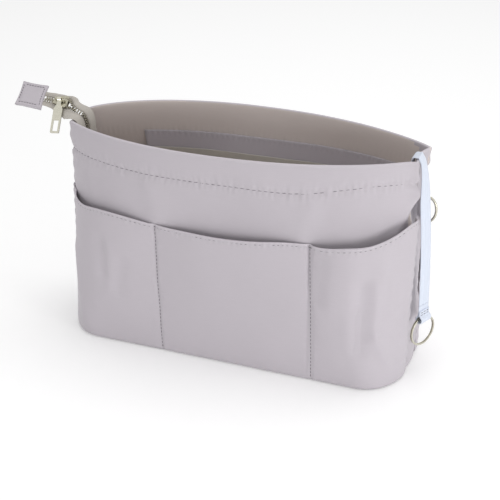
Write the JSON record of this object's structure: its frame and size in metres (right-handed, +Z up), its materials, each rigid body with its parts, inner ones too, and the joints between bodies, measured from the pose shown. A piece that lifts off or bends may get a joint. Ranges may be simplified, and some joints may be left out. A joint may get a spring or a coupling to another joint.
{
  "type": "purse organizer insert",
  "caption": "Soft standing purse organizer insert with outer and inner slip pockets, an open zip with a tail, a D ring and a key strap with a split ring.",
  "frame": {"origin": "centre of the base's underside", "axes": "+X towards the key strap's end, -Y the front with the tall pockets, +Z up"},
  "size_m": [0.4282, 0.1526, 0.2364],
  "materials": {
    "nylon": "satin",
    "lining": "satin",
    "zip_tape": "matte",
    "webbing": "matte",
    "board": "matte",
    "nickel": "polished"
  },
  "bodies": {
    "bag": {"front_wall": "nylon", "back_wall": "nylon", "left_end_panel": "nylon", "right_end_panel": "nylon", "base_panel": "nylon", "base_board": "board", "front_pocket_panel": "nylon", "back_pocket_panel": "nylon", "front_inner_pocket": "lining", "back_inner_pocket": "lining", "front_zip_flap": "nylon", "back_zip_flap": "nylon", "front_zip_tape": "zip_tape", "back_zip_tape": "zip_tape", "front_zip_teeth": "nickel", "back_zip_teeth": "nickel", "front_zip_stop": "nickel", "back_zip_stop": "nickel", "zip_end_tab": "nylon", "key_strap_anchor": "webbing", "d_ring_tab": "nylon"},
    "slider": {"zip_slider": "nickel", "slider_bridge": "nickel"},
    "pull": {"zip_pull": "nickel"},
    "d_ring": {"d_ring": "nickel"},
    "key_strap": {"key_strap": "webbing", "key_strap_end": "webbing"},
    "key_ring": {"split_ring": "nickel"}
  },
  "joints": [
    {"name": "slider_slide", "type": "slide", "parent": "bag", "child": "slider", "axis": [-0.9976, 0, 0.0698], "range_m": [0, 0.004]},
    {"name": "pull_swing", "type": "hinge", "parent": "slider", "child": "pull", "pos_m": [-0.1897, -0.01012, 0.22878], "axis": [-0.9976, 0, 0.0698], "range_deg": [0, 205]},
    {"name": "d_ring_swing", "type": "hinge", "parent": "bag", "child": "d_ring", "pos_m": [0.17267, 0.01498, 0.159], "axis": [0, 0, 1], "range_deg": [-20, 75]},
    {"name": "key_strap_swing", "type": "hinge", "parent": "bag", "child": "key_strap", "pos_m": [0.1647, 0.001, 0.219], "axis": [0, -1, 0], "range_deg": [0, 85]},
    {"name": "key_ring_swing", "type": "hinge", "parent": "key_strap", "child": "key_ring", "pos_m": [0.18405, -0.00824, 0.057], "axis": [-0.4067, -0.9135, 0], "range_deg": [-2, 110]}
  ]
}
